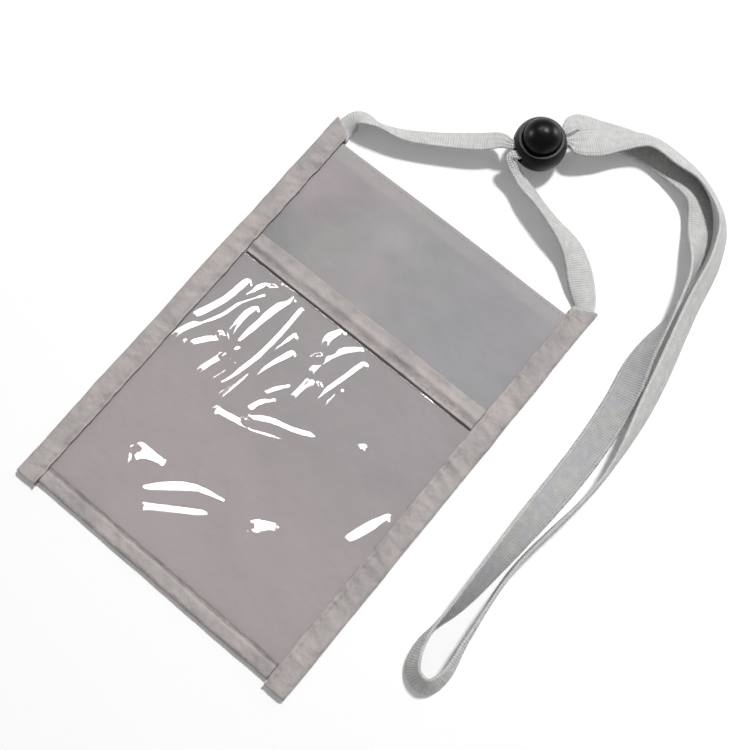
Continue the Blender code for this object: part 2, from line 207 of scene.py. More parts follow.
def spread(tree, value, low, high):
    sockets = {"Value": value, "From Min": low, "From Max": high}
    return addNode(tree, "MapRange", sockets).outputs["Result"]


def newMaterial(name, colour, **values):
    material = bpy.data.materials.new(name)
    material.use_nodes = True
    material.diffuse_color = (*colour, 1)
    tree = material.node_tree
    shader = tree.nodes["Principled BSDF"]
    shader.inputs["Base Color"].default_value = (*colour, 1)
    for key, value in values.items():
        shader.inputs[key.replace("_", " ")].default_value = value
    return material, tree, shader


def setBump(tree, shader, height, distance, strength=1.0, below=None):
    sockets = {"Height": height, "Distance": distance, "Strength": strength}
    if below is not None:
        sockets["Normal"] = below
    bump = addNode(tree, "Bump", sockets).outputs["Normal"]
    tree.links.new(bump, shader.inputs["Normal"])
    return bump


def setFinish(tree, shader, look, grain, tone=None):
    rough = calc(tree, "MULTIPLY_ADD", grain, look["roughnessChange"], look["roughness"])
    tree.links.new(rough, shader.inputs["Roughness"])
    if tone is not None:
        tree.links.new(tone, shader.inputs["Base Color"])


nylonLook = {
    "panel": (0.362, 0.315, 0.33), "panelPatch": (0.312, 0.326, 0.314),
    "tape": (0.475, 0.43, 0.415), "tapePatch": (0.36, 0.336, 0.33),
    # Dark rim faces of film and tapes: painted shade for the dark lines along their edges
    "paintedShadeEdge": (0.17, 0.15, 0.15), "paintedShadeEdgePatch": (0.13, 0.12, 0.12),
    "speck": (0.5, 0.48, 0.48), "speckShare": 0.1, "speckScale": 2600,
    "roughness": 0.66, "roughnessChange": 0.12,
    "threadPitch": 0.2 * mm, "weaveDepth": 0.02 * mm,
    "panelCloud": 22, "tapeCloud": 95,
    "panelCrease": (40, 3 * mm), "tapeCrease": (150, 2.8 * mm),  # scale and depth
}
# Painted sheen and shade on the panels, and their tones behind the window: each reach runs from none to all of its
# colour
panelShade = {
    "patchScale": 34, "sheenScale": 17,
    # Painted shade in darker patches, painted highlight in paler patches, painted shade bluer to the right
    "dark": (0.25, 0.24, 0.252), "darkReach": (0.5, 0.64), "darkShare": 0.75,
    "pale": (0.44, 0.435, 0.43), "paleReach": (0.47, 0.35), "paleShare": 0.65,
    "cool": (0.318, 0.318, 0.341), "coolReach": (-30 * mm, 35 * mm), "coolShare": 0.55,
    # Paler along the top hem, over its turned-in ply, with a painted highlight
    "hem": (0.43, 0.4, 0.4), "hemReach": (75.5 * mm, 77.5 * mm), "hemPatch": (0.3, 0.62), "hemShare": 0.6,
    "window": (0.428, 0.373, 0.378), "windowReach": (24 * mm, 30 * mm), "windowShare": 0.85,
    # Painted shade, greyer towards the window's top
    "windowTopShade": (0.34, 0.33, 0.33), "topReach": (-22 * mm, 12 * mm), "topWaver": 30 * mm, "topShare": 0.6,
}
seamShade = {
    "colour": (0.2, 0.175, 0.17), "share": 0.8,
    "scale": 420, "waver": 1.1 * mm, "reach": (0.45 * mm, 0.1 * mm),
}


def shadePanel(tree, place, tone):
    # Painted sheen and shade in darker and paler patches, painted shade bluer to the right, paler along the top
    # hem over its turned-in ply with a painted highlight, warmer behind the window and painted shade greyer at its
    # top
    shade = panelShade
    x, y = acrossAndAlong(tree, place)
    patchy = cloudiness(tree, place, shade["patchScale"], 3.0, 0.6)
    sheenPatch = cloudiness(tree, place, shade["sheenScale"], 3.0, 0.55)
    # Painted shade in darker patches, painted highlight in paler patches, painted shade bluer to the right
    for name, source in (("dark", sheenPatch), ("pale", sheenPatch), ("cool", x)):
        share = times(tree, spread(tree, source, *shade[name + "Reach"]), shade[name + "Share"])
        tone = mixColour(tree, share, tone, shade[name])
    # Paler along the top hem, over its turned-in ply, with a painted highlight
    hem = times(tree, spread(tree, y, *shade["hemReach"]), spread(tree, patchy, *shade["hemPatch"]))
    tone = mixColour(tree, times(tree, hem, shade["hemShare"]), tone, shade["hem"])
    pocket = calc(tree, "SUBTRACT", 1.0, spread(tree, y, *shade["windowReach"]))
    # Painted shade: the tone behind the window turns greyer towards its top
    level = calc(tree, "ADD", y, times(tree, patchy, shade["topWaver"]))
    top = times(tree, spread(tree, level, *shade["topReach"]), shade["topShare"])
    behind = mixColour(tree, top, shade["window"], shade["windowTopShade"])
    return mixColour(tree, times(tree, pocket, shade["windowShare"]), tone, behind)


def shadeSeam(tree, place, tone):
    # The wavy dark line where the bottom tape is drawn down at its seam, between the side tapes
    shade = seamShade
    x, y = acrossAndAlong(tree, place)
    waver = times(tree, cloudiness(tree, place, shade["scale"]), shade["waver"])
    line = spread(tree, calc(tree, "ADD", y, waver), *(footHigh.y - inset for inset in shade["reach"]))
    between = calc(tree, "LESS_THAN", calc(tree, "ABSOLUTE", x), innerX)
    line = times(tree, times(tree, line, between), calc(tree, "LESS_THAN", y, 0.0))
    return mixColour(tree, times(tree, line, shade["share"]), tone, shade["colour"])


def makeNylon(name, key, kind):
    look = nylonLook
    colour = look[key]
    material, tree, shader = newMaterial(name, colour, Sheen_Weight=0.05, Specular_IOR_Level=0.22)
    place = addNode(tree, "TexCoord").outputs["Object"]
    cloud = spread(tree, cloudiness(tree, place, look[kind + "Cloud"], 4.0, 0.6), 0.36, 0.64)
    tone = mixColour(tree, cloud, colour, look[key + "Patch"])
    tone = shadePanel(tree, place, tone) if kind == "panel" else shadeSeam(tree, place, tone)
    speck = spread(tree, cloudiness(tree, place, look["speckScale"]), 0.2, 0.8)
    tone = mixColour(tree, times(tree, speck, look["speckShare"]), tone, look["speck"])
    setFinish(tree, shader, look, speck, tone)
    creaseScale, creaseDepth = look[kind + "Crease"]
    creases = setBump(tree, shader, cloudiness(tree, place, creaseScale, 4.0, 0.5), creaseDepth, 0.6)
    # Over-and-under threads: high where warp and weft agree
    turns = pi / look["threadPitch"]
    waves = [calc(tree, "SINE", times(tree, axis, turns)) for axis in acrossAndAlong(tree, place)]
    setBump(tree, shader, times(tree, *waves), look["weaveDepth"], 0.6, creases)
    return material


filmLook = {"mirror": 0.085, "roughness": 0.05}


def makeFilmMaterial():
    # Both faces' mirroring is on the face towards the light, so that light passes the sheet unbent
    material, tree, shader = newMaterial("clearVinyl", (0.8, 0.8, 0.8))
    facing = addNode(tree, "LayerWeight", {"Blend": 0.5}).outputs["Facing"]
    mirror = filmLook["mirror"]
    steep = calc(tree, "MULTIPLY_ADD", calc(tree, "POWER", facing, 5.0), 1 - mirror, mirror)
    front = calc(tree, "SUBTRACT", 1.0, addNode(tree, "NewGeometry").outputs["Backfacing"])
    through = addNode(tree, "BsdfTransparent", {"Color": (1, 1, 1, 1)})
    gloss = addNode(tree, "BsdfAnisotropic", {"Color": (1, 1, 1, 1), "Roughness": filmLook["roughness"]})
    share = times(tree, steep, front)
    mix = addNode(tree, "MixShader", {0: share, 1: through.outputs[0], 2: gloss.outputs[0]})
    tree.links.new(mix.outputs[0], tree.nodes["Material Output"].inputs["Surface"])
    tree.nodes.remove(shader)
    return material


laceLook = {
    # The back face's greyer, lavender and olive tones are painted shade
    "front": (0.64, 0.64, 0.628), "back": (0.535, 0.535, 0.535), "backShare": 0.55,
    "lavender": (0.495, 0.487, 0.53), "olive": (0.535, 0.54, 0.5), "shadeTintScale": 75,
    "selvedge": (0.78, 0.78, 0.77), "selvedgeShare": 0.5, "selvedgeWidth": 0.1, "selvedgeSoft": 0.02,
    # Painted shade in the ribs' hollows: how dark it is, and how much of it the line inside each selvedge takes
    "shade": 0.62, "lineShare": 0.8,
    "ribPitch": 0.9 * mm, "columnPitch": 1.1 * mm, "ribShare": 0.8, "ribDepth": 0.22 * mm,
    "waver": 0.4 * mm, "waverScale": 260, "faintScale": 330,
    "fuzzScale": 1500, "fuzzDepth": 0.1 * mm, "roughness": 0.78, "roughnessChange": 0.15,
}


def makeLaceMaterial():
    # The map's first coordinate runs round the lace, front face then back
    look = laceLook
    material, tree, shader = newMaterial("wovenLace", look["front"], Sheen_Weight=0.15, Specular_IOR_Level=0.2)
    uv = addNode(tree, "UVMap", uv_map="weave").outputs["UV"]
    x, y = acrossAndAlong(tree, uv)
    turn = calc(tree, "DIVIDE", x, lace["width"])
    isBack = calc(tree, "GREATER_THAN", turn, 1.0)
    fromMiddle = calc(tree, "ABSOLUTE", calc(tree, "SUBTRACT", calc(tree, "FRACT", turn), 0.5))
    inset = calc(tree, "SUBTRACT", 0.5, fromMiddle)
    width, soft = look["selvedgeWidth"], look["selvedgeSoft"]
    selvedge = spread(tree, inset, width + soft, width - soft)
    fromLine = calc(tree, "ABSOLUTE", calc(tree, "SUBTRACT", inset, width + soft))
    selvedgeLine = spread(tree, fromLine, soft, 0.0)

    waver = cloudiness(tree, uv, look["waverScale"])
    along = calc(tree, "ADD", y, times(tree, waver, look["waver"]))
    rib = calc(tree, "ABSOLUTE", calc(tree, "SINE", times(tree, along, pi / look["ribPitch"])))
    column = calc(tree, "ABSOLUTE", calc(tree, "SINE", times(tree, x, pi / look["columnPitch"])))
    ribShare = look["ribShare"]
    woven = calc(tree, "ADD", times(tree, rib, ribShare), times(tree, column, 1 - ribShare))
    faint = spread(tree, cloudiness(tree, uv, look["faintScale"], 3.0), 0.3, 0.62)
    depth = times(tree, calc(tree, "SUBTRACT", 1.0, woven), faint)

    # Painted shade: the back face is greyer, tinted lavender and olive in patches
    shadeTint = spread(tree, cloudiness(tree, uv, look["shadeTintScale"]), 0.42, 0.58)
    back = mixColour(tree, shadeTint, look["lavender"], look["olive"])
    back = mixColour(tree, look["backShare"], back, look["back"])
    tone = mixColour(tree, isBack, look["front"], back)
    fuzz = cloudiness(tree, uv, look["fuzzScale"], 3.0, 0.6)
    bright = times(tree, selvedge, spread(tree, fuzz, 0.36, 0.6))
    tone = mixColour(tree, times(tree, bright, look["selvedgeShare"]), tone, look["selvedge"])
    # Painted shade in the ribs' hollows, and a darker line just inside each selvedge
    dark = calc(tree, "MAXIMUM", depth, times(tree, selvedgeLine, look["lineShare"]))
    shade = mixColour(tree, 1.0, tone, (look["shade"],) * 3, blend_type="MULTIPLY")
    setFinish(tree, shader, look, fuzz, mixColour(tree, dark, tone, shade))
    ribs = setBump(tree, shader, woven, look["ribDepth"], 0.8)
    setBump(tree, shader, fuzz, look["fuzzDepth"], 0.6, ribs)
    return material


threadLook = {
    "colour": (0.4, 0.37, 0.365), "dark": (0.34, 0.315, 0.31), "pale": (0.46, 0.43, 0.42),
    "twistScale": 900, "twistDepth": 0.04 * mm,
}


def makeThreadMaterial():
    look = threadLook
    material, tree, shader = newMaterial("sewingThread", look["colour"], Roughness=0.6, Sheen_Weight=0.2)
    place = addNode(tree, "TexCoord").outputs["Object"]
    sockets = {"Vector": place, "Scale": look["twistScale"], "Distortion": 1.0}
    twist = addNode(tree, "TexWave", sockets, bands_direction="DIAGONAL").outputs["Fac"]
    tree.links.new(mixColour(tree, twist, look["dark"], look["pale"]), shader.inputs["Base Color"])
    setBump(tree, shader, twist, look["twistDepth"], 0.8)
    return material


plasticLook = {
    "colour": (0.004, 0.004, 0.0045), "scuffed": (0.01, 0.01, 0.011),
    "scuffScale": 900, "scuffDepth": 0.02 * mm, "roughness": 0.27, "roughnessChange": 0.12,
}


def makePlasticMaterial():
    look = plasticLook
    material, tree, shader = newMaterial("blackPlastic", look["colour"], Specular_IOR_Level=0.13)
    place = addNode(tree, "TexCoord").outputs["Object"]
    scuff = cloudiness(tree, place, look["scuffScale"], 3.0, 0.6)
    tone = mixColour(tree, spread(tree, scuff, 0.55, 0.8), look["colour"], look["scuffed"])
    setFinish(tree, shader, look, scuff, tone)
    setBump(tree, shader, scuff, look["scuffDepth"], 0.6)
    return material


steelLook = {"colour": (0.6, 0.6, 0.62), "drawnScale": 3000, "roughness": 0.2, "roughnessChange": 0.2}


def makeSteelMaterial():
    look = steelLook
    material, tree, shader = newMaterial("springSteel", look["colour"], Metallic=1.0)
    place = addNode(tree, "TexCoord").outputs["Object"]
    setFinish(tree, shader, look, cloudiness(tree, place, look["drawnScale"]))
    return material


# Places from the frame

tapeLow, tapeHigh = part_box("left_binding")
rightLow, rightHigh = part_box("right_binding")
frontLow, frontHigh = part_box("front_panel")
backLow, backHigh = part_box("back_panel")
filmLow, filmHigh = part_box("window_film")
hemLow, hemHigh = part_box("window_hem")
footLow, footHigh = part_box("bottom_binding")
outerX, innerX = rightHigh.x, rightLow.x
topY = tapeHigh.y
tapeHeight = tapeHigh.z - tapeLow.z


# Ripple numbers are turns a metre
sheetWave = {
    "height": 0.45 * mm, "long": (16, 13), "short": (42, 34), "shortShare": 0.45,
    "sideReach": 24 * mm, "footReach": (5 * mm, 22 * mm),
}


def pouchWave(x, y):
    # The slow waves that all the sheets share, calm under the bindings
    wave = sheetWave
    calm = fade(innerX - abs(x), 0, wave["sideReach"]) * fade(y - footLow.y, *wave["footReach"])
    (longX, longY), (shortX, shortY) = wave["long"], wave["short"]
    slow = ripple(x * longX, y * longY, 0.3) + wave["shortShare"] * ripple(x * shortX, y * shortY, 4.1)
    return wave["height"] * calm * slow


# Panels

panelShape = {
    "step": 1.4 * mm, "cloth": 0.3 * mm, "hemHeight": 7 * mm, "hemPly": 0.4 * mm, "foldSteps": 6,
    "droop": 0.5 * mm, "droopReach": (60 * mm, 83 * mm), "droopRipple": 24,
}


def laySheet(name, low, high, step, materials, lift=lambda x, y: 0):
    # A flat sheet through the middle of a node's box, moved up by the shared waves and by lift
    size = (high.x - low.x, high.y - low.y)
    middle = (low.z + high.z) / 2

    def place(u, v):
        x, y = low.x + size[0] * u, low.y + size[1] * v
        return (x, y, middle + pouchWave(x, y) + lift(x, y))

    columns, rows = (round(length / step) for length in size)
    return addPiece(name, gridShape(columns, rows, place, size), materials), size


def makeBackPanel(nylon):
    panel, size = laySheet("backPanelCloth", backLow, backHigh, panelShape["step"], [nylon])
    thicken(panel, panelShape["cloth"])
    return panel


def makeFrontPanel(nylon):
    # Its top edge is turned in as a hem, whose fold is soft and a little wavy
    shape = panelShape
    cloth, ply = shape["cloth"], shape["hemPly"]
    middle = frontHigh.z - cloth / 2
    foldY = frontHigh.y - (cloth + ply) / 2
    hemEnd = frontHigh.y - shape["hemHeight"]
    steps = [round(length / shape["step"]) for length in (foldY - frontLow.y, shape["hemHeight"])]
    profile, _ = foldedProfile(frontLow.y, foldY, hemEnd, middle, middle - ply, steps, shape["foldSteps"])
    width = frontHigh.x - frontLow.x
    length = frontHigh.y - frontLow.y + shape["hemHeight"]

    def place(u, v):
        y, z = profile[round(v * (len(profile) - 1))]
        x = frontLow.x + width * u
        droop = shape["droop"] * fade(y, *shape["droopReach"]) * (ripple(x * shape["droopRipple"], 1.7) - 0.2)
        return (x, y + droop, z + pouchWave(x, y))

    columns = round(width / shape["step"])
    bm = gridShape(columns, len(profile) - 1, place, (width, length))
    panel = thicken(addPiece("frontPanelCloth", bm, [nylon]), cloth)
    return panel


# Window film

filmShape = {
    "step": 0.62 * mm, "thickness": 0.3 * mm, "litShare": 0.52, "farShare": 0.6,
    "edgeLift": 0.35 * mm, "edgeReach": 5 * mm, "edgeSides": (4 * mm, 24 * mm), "edgeRipple": 90,
    "slope": 0.195, "slopeRightwards": 1.1, "slopeDownwards": 1.2,
    "lineStep": 1.2 * mm, "taperWidths": 1.1, "taperShare": 0.3, "leastWidth": 0.15,
    "wide": 3, "wideTaperShare": 0.5, "endWidths": 0.8,
}
# Soft creases in the film, each the line of its flank that faces the lamp: width and points in millimetres
filmCreases = [
    (1.5, (-39.6, 20.9), (-42.5, 14.5), (-45.6, 9)),
    (1.7, (-37.3, 17.2), (-42.5, 9.5), (-45, 0.5), (-49, -6.5), (-52.6, -14), (-53.2, -22)),
    (2, (-46, 17.5), (-47.8, 6), (-50.5, -1.5), (-52.8, -6.5)),
    (2.2, (-37, 11.5), (-38, 6.5), (-37.5, -3), (-35.5, -8)),
    (2.4, (-28.7, 23), (-31, 14), (-32.5, 5.5), (-34.3, -4.5)),
    (1.9, (-33, 8), (-30.5, -1), (-33.5, -8.5), (-30.5, -12.5), (-32.5, -21)),
    (1.9, (-46.5, -15), (-41.5, -8.6), (-37, -6), (-34.5, -10), (-37, -20.5), (-36.5, -31)),
    (1.7, (-41, -4.5), (-34.8, -5.5), (-32, -9), (-34, -19)),
    (1.6, (-23.3, 21.8), (-23, 11), (-24, -4), (-26.5, -14.5), (-28.8, -20)),
    (1.9, (-18.8, 12.5), (-22.8, -2), (-23, -12), (-25, -25)),
    (1.9, (-14.5, 7), (-18.8, -3), (-21, -12), (-21.5, -20.5)),
    (2.2, (-39, 20.5), (-37.2, 18)),
    (2, (-34.5, 25), (-33.5, 22.5), (-32, 18.5)),
    (2.6, (-5.2, 25), (-8.2, 19.5), (-6.5, 14), (-2.5, 10.5)),
    (2.2, (4.5, 24), (-0.5, 19), (-4.5, 10), (-4.8, 3)),
    (2, (-1.5, 14.5), (-3.2, 5.5), (-3.5, -1), (-4, -8)),
    (3, (-3, 4), (-1, -6), (2, -13)),
    (1.7, (8.2, 20.5), (5.5, 9), (2.8, -1.5), (1.5, -10.5)),
    (1.8, (7.2, 7.5), (6.8, -1.5), (8.2, -6)),
    (1.5, (4, 2), (2.8, -7)),
    (2.8, (-23.5, -28), (-15.5, -26.5), (-6.5, -24.5), (3.5, -20), (11, -15.5)),
    (2.6, (-12.5, -17.5), (-12, -21.5), (-3.5, -18), (3.5, -16), (12, -12.5)),
    (1.4, (-13, -12), (-9.5, -6.5), (-7, -3.5)),
    (1.6, (-14, -21), (-12, -16), (-8, -11)),
    (1.6, (-49.5, -15), (-47.5, -26), (-49.5, -40)),
    (5.4, (-36.2, -57.6), (-29.8, -56), (-22.8, -54.6)),
    (3.1, (-24.5, -66.8), (-16.2, -59.4), (-8.8, -54.3), (3, -51)),
    (2.5, (-20.3, -71.9), (-12.8, -67), (0.5, -58.5)),
    (4.4, (14.2, -52.9), (22.8, -46.1)),
    (3.8, (43.8, -36.5), (47.2, -28), (51, -17.4)),
    (2, (26.5, -5.5), (28.5, -3.5)),
]


def creaseHeight(x, y):
    # x and y are arrays in metres; each crease is a soft ridge whose far side starts at its line's lit flank
    shape = filmShape
    height = np.zeros_like(x)
    for width, *corners in filmCreases:
        points = [Vector((a * mm, b * mm, 0)) for a, b in corners]
        line = np.array(curveThrough(points, shape["lineStep"]))[:, :2]
        half = width * mm / shape["litShare"]
        runs = np.diff(line, axis=0)
        lengths = np.linalg.norm(runs, axis=1)
        starts = np.concatenate([[0], np.cumsum(lengths)])
        best = [np.ones_like(x)] + [np.zeros_like(x)] * 3
        for (ax, ay), (dx, dy), length, start in zip(line, runs, lengths, starts):
            share = np.clip(((x - ax) * dx + (y - ay) * dy) / length**2, 0, 1)
            offX, offY = x - ax - share * dx, y - ay - share * dy
            facing = 1.0 if dx + dy >= 0 else -1.0
            signed = facing * (dx * offY - dy * offX) / length
            slope = shape["slope"] + shape["slopeRightwards"] * ax * abs(dy) / length
            slope -= shape["slopeDownwards"] * ay * abs(dx) / length
            found = (np.hypot(offX, offY), signed, start + share * length, slope)
            closer = found[0] < best[0]
            best = [np.where(closer, new, old) for new, old in zip(found, best)]
        nearest, side, along, steep = best
        total = starts[-1]
        reach = min(shape["taperWidths"] * width * mm, shape["taperShare"] * total)
        if width > shape["wide"]:
            reach = shape["wideTaperShare"] * total
        inside = np.clip(np.minimum(along, total - along) / reach, 0, 1)
        past = np.sqrt(np.maximum(nearest**2 - side**2, 0))
        halfHere = half * (np.sqrt(inside * (2 - inside)) * (1 - shape["leastWidth"]) + shape["leastWidth"])
        fromTop = side + halfHere / 2
        ridge = np.where(fromTop > 0, fromTop, -fromTop / shape["farShare"])
        ridge = np.clip(ridge / halfHere, 0, 1)
        ending = np.clip(1 - past / (shape["endWidths"] * width * mm), 0, 1)
        rise = steep * 2 / pi * halfHere * np.cos(ridge * pi / 2) ** 2 * ending
        height = np.maximum(height, rise)
    return height


def makeFilm(film, filmShadeEdge):
    shape = filmShape

    def lift(x, y):
        atMouth = fade(y, filmHigh.y - shape["edgeReach"], filmHigh.y) * fade(innerX - abs(x), *shape["edgeSides"])
        return shape["edgeLift"] * atMouth * (0.7 + ripple(x * shape["edgeRipple"], 8.3))

    materials = [film, filmShadeEdge]
    sheet, size = laySheet("windowFilmSheet", filmLow, filmHigh, shape["step"], materials, lift)
    points = np.empty(len(sheet.data.vertices) * 3, np.float32)
    sheet.data.vertices.foreach_get("co", points)
    points = points.reshape(-1, 3)
    points[:, 2] += creaseHeight(points[:, 0].astype(float), points[:, 1].astype(float))
    sheet.data.vertices.foreach_set("co", points.ravel())
    sheet.data.update()
    # The rim faces take the dark edge material: painted shade along the film's edges
    thicken(sheet, shape["thickness"], rim=1)
    return sheet


# Window hem

hemShape = {
    "cloth": 0.3 * mm, "across": 0.45 * mm, "along": 0.8 * mm, "foldSteps": 8, "plies": 0.5 * mm,
    "seamInset": 1.5 * mm,
    "ridge": 0.95 * mm, "ridgeShare": 0.45, "ridgeWidth": 0.15, "groove": 0.3 * mm, "grooveWidth": 0.6 * mm,
    "wrinkle": 0.22 * mm, "drift": 0.45 * mm, "smallDrift": 0.2 * mm,
}


def makeWindowHem(nylon):
    shape = hemShape
    cloth, plies = shape["cloth"], shape["plies"]
    length, width = hemHigh.x - hemLow.x, hemHigh.y - hemLow.y
    back = hemLow.z + cloth / 2
    foldY = hemHigh.y - (cloth + plies) / 2
    steps = [round((foldY - hemLow.y) / shape["across"])] * 2
    profile, lower = foldedProfile(hemLow.y, foldY, hemLow.y, back, back + plies, steps, shape["foldSteps"])
    seamY = hemLow.y + shape["seamInset"]

    def place(u, v):
        index = round(u * (len(profile) - 1))
        y, z = profile[index]
        x = hemLow.x + length * v
        z += pouchWave(x, y)
        if index > lower:
            share = (y - hemLow.y) / width - 0.06 * ripple(x * 30, 7.7)
            swell = shape["ridge"] * exp(-(((share - shape["ridgeShare"]) / shape["ridgeWidth"]) ** 2))
            z += swell * (0.85 + 0.7 * ripple(x * 75, 2.2)) + shape["wrinkle"] * ripple(x * 110, y * 110, 4.2)
            dimple = 0.6 + 0.4 * cos(2 * pi * x / stitch["pitch"])
            z -= shape["groove"] * exp(-(((y - seamY) / shape["grooveWidth"]) ** 2)) * dimple
        drift = shape["drift"] * ripple(x * 45, 3.3) + shape["smallDrift"] * ripple(x * 130, 5.1)
        return (x, y + drift * fade(y, hemLow.y, hemHigh.y), z)

    rows = round(length / shape["along"])
    bm = gridShape(len(profile) - 1, rows, place, (2 * width, length))
    bmesh.ops.recalc_face_normals(bm, faces=bm.faces)
    hem = thicken(addPiece("windowHemStrip", bm, [nylon]), cloth)
    return hem


# Bindings

tapeShape = {
    "cloth": 0.4 * mm, "across": 0.32 * mm, "along": 0.6 * mm, "foldSteps": 8, "seamInset": 1.5 * mm,
    "slant": 5 * mm, "groove": 0.55 * mm, "grooveWidth": 0.5 * mm, "grooveDrift": 0.35 * mm,
    "wrinkle": 0.55 * mm, "wrinkleReach": 7 * mm, "wrinkleLean": 0.35, "swell": 0.35 * mm,
    "topRuffle": 0.5 * mm, "topReach": 14 * mm, "bulge": 0.4 * mm, "smallBulge": 0.16 * mm, "edgeWaver": 0.3 * mm,
    "seed": {"left": 3.0, "right": 9.0, "bottom": 14.0},
}
stitch = {"pitch": 2.7 * mm, "length": 2.1 * mm, "thread": 0.3 * mm, "sides": 8, "rings": 6, "sink": 0.16 * mm}


def pucker(along, fromSeam, seed):
    # A groove drawn in at each stitch, with short wrinkles that fan out from it
    shape = tapeShape
    drift = fromSeam - shape["grooveDrift"] * ripple(along * 160, seed + 1.5)
    groove = exp(-((drift / shape["grooveWidth"]) ** 2)) * (0.8 + 0.2 * cos(2 * pi * along / stitch["pitch"]))
    lean = along + shape["wrinkleLean"] * fromSeam
    fan = 0.3 - 2 * abs(ripple(lean * 170, fromSeam * 55, seed))
    fan *= exp(-((fromSeam / shape["wrinkleReach"]) ** 2))
    slow = ripple(lean * 60, fromSeam * 30, seed + 5.5)
    return shape["wrinkle"] * fan + shape["swell"] * slow - shape["groove"] * groove


def makeTape(side, openEdge, closedEdge, ends, toWorld, nylon, edge):
    shape = tapeShape
    seed = shape["seed"][side]
    width = abs(closedEdge - openEdge)
    way = 1 if closedEdge > openEdge else -1
    turn = closedEdge - way * tapeHeight / 2
    steps = [round(abs(turn - openEdge) / shape["across"])] * 2
    heights = (shape["cloth"] / 2, tapeHeight - shape["cloth"] / 2)
    profile, lower = foldedProfile(openEdge, turn, openEdge, *heights, steps, shape["foldSteps"])
    bent = lower + shape["foldSteps"] - 1
    seam = openEdge + way * shape["seamInset"]
    length = ends(closedEdge)[1] - ends(closedEdge)[0]

    def place(u, v):
        index = round(u * (len(profile) - 1))
        across, up = profile[index]
        start, end = ends(across)
        along = start + (end - start) * v
        isUpper = up > tapeHeight / 2
        ruffle = pucker(along, across - seam, seed)
        if index < bent:
            ruffle = max(0.3 * ruffle, 0) * isUpper
        nearTop = fade(along, topY - shape["topReach"], topY)
        ruffle += shape["topRuffle"] * nearTop * ripple(along * 150, across * 260, seed) * isUpper
        bulge = shape["bulge"] * ripple(along * 32, seed + 2.1)
        bulge += shape["smallBulge"] * ripple(along * 140, seed + 4.4)
        fromOpen = fade(abs(across - openEdge), 0, width)
        waver = shape["edgeWaver"] * ripple(along * 280, seed + 6.6) * (1 - fromOpen) ** 4
        return toWorld(across + way * (bulge * fromOpen + waver), along, up + ruffle)

    rows = round(length / shape["along"])
    bm = gridShape(len(profile) - 1, rows, place, (2 * width, length))
    bmesh.ops.recalc_face_normals(bm, faces=bm.faces)
    # The rim faces take the dark edge material: painted shade along the tape's edges
    tape = thicken(addPiece(side + "BindingTape", bm, [nylon, edge]), shape["cloth"], rim=1)
    return tape


def makeBindings(nylon, edge):
    def sideEnds(across):
        return (tapeLow.y, topY - tapeShape["slant"] * (outerX - across) / (outerX - innerX))

    footEnds = (footLow.x, footHigh.x)
    plans = (
        ("left", innerX, outerX, sideEnds, lambda across, along, up: (-across, along, up)),
        ("right", innerX, outerX, sideEnds, lambda across, along, up: (across, along, up)),
        ("bottom", footHigh.y, footLow.y, lambda across: footEnds, lambda across, along, up: (along, across, up)),
    )
    return [makeTape(*plan, nylon, edge) for plan in plans]


def overTape(side):
    # The height of a tape's upper face, for the stitches
    def surface(x, y):
        along, fromSeam = y, abs(x) - innerX - tapeShape["seamInset"]
        if side == "bottom":
            along, fromSeam = x, y - footHigh.y + tapeShape["seamInset"]
        return tapeHeight + pucker(along, fromSeam, tapeShape["seed"][side])

    return surface


# Stitches

def stitchTemplate(length):
    # One stitch along X: a short thread that bows down into the cloth at both ends
    radius = stitch["thread"] / 2

    def place(u, v):
        swell = radius * (0.35 + 0.65 * sqrt(max(0, 1 - (2 * v - 1) ** 4)))
        angle = 2 * pi * u
        bow = -2.2 * radius * (2 * v - 1) ** 4
        return ((v - 0.5) * length, swell * cos(angle), swell * sin(angle) + bow)

    bm = closeUp(gridShape(stitch["sides"], stitch["rings"], place), 0.002 * mm)
    mesh = bpy.data.meshes.new("stitchTemplate")
    bm.to_mesh(mesh)
    bm.free()
    return mesh


def sewStitches(name, places, length, thread):
    # places holds each stitch's middle and its turn about +Z
    template = stitchTemplate(length)
    count = len(template.vertices)
    bm = bmesh.new()
    for middle, turn in places:
        bm.from_mesh(template)
        bm.verts.ensure_lookup_table()
        where = Matrix.Translation(middle) @ Matrix.Rotation(turn, 4, "Z")
        bmesh.ops.transform(bm, matrix=where, verts=bm.verts[-count:])
    bpy.data.meshes.remove(template)
    return addPiece(name, bm, [thread])


def makeSeam(name, node, surface, thread):
    # Stitches along the thread's node, lying on the cloth beneath
    low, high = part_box(node)
    middle = (low + high) / 2
    alongX = high.x - low.x > high.y - low.y
    length = max(high.x - low.x, high.y - low.y)
    count = round(length / stitch["pitch"])
    places = []
    for index in range(count):
        along = (index + 0.5) * length / count
        x = low.x + along if alongX else middle.x
        y = middle.y if alongX else low.y + along
        z = surface(x, y) + stitch["thread"] / 2 - stitch["sink"]
        lean = 0.05 * ripple(index * 3.1, middle.x * 50)
        places.append((Vector((x, y, z)), lean + (0 if alongX else pi / 2)))
    return sewStitches(name, places, stitch["length"], thread)


tackShape = {"stitches": 13, "height": 1.2 * mm, "sink": 0.12 * mm}


def makeTack(name, node, surface, thread):
    # A close zigzag across the strap's end
    low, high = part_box(node)
    y = (low.y + high.y) / 2
    places = []
    for index, x in enumerate(stepped(low.x + 0.3 * mm, high.x - 0.3 * mm, tackShape["stitches"])):
        lean = pi / 2 + (0.16 if index % 2 else -0.16)
        middle = Vector((x, y + 0.1 * mm * ripple(index * 3.7, 0.5), surface(x, y) - tackShape["sink"]))
        places.append((middle, lean))
    return sewStitches(name, places, tackShape["height"], thread)
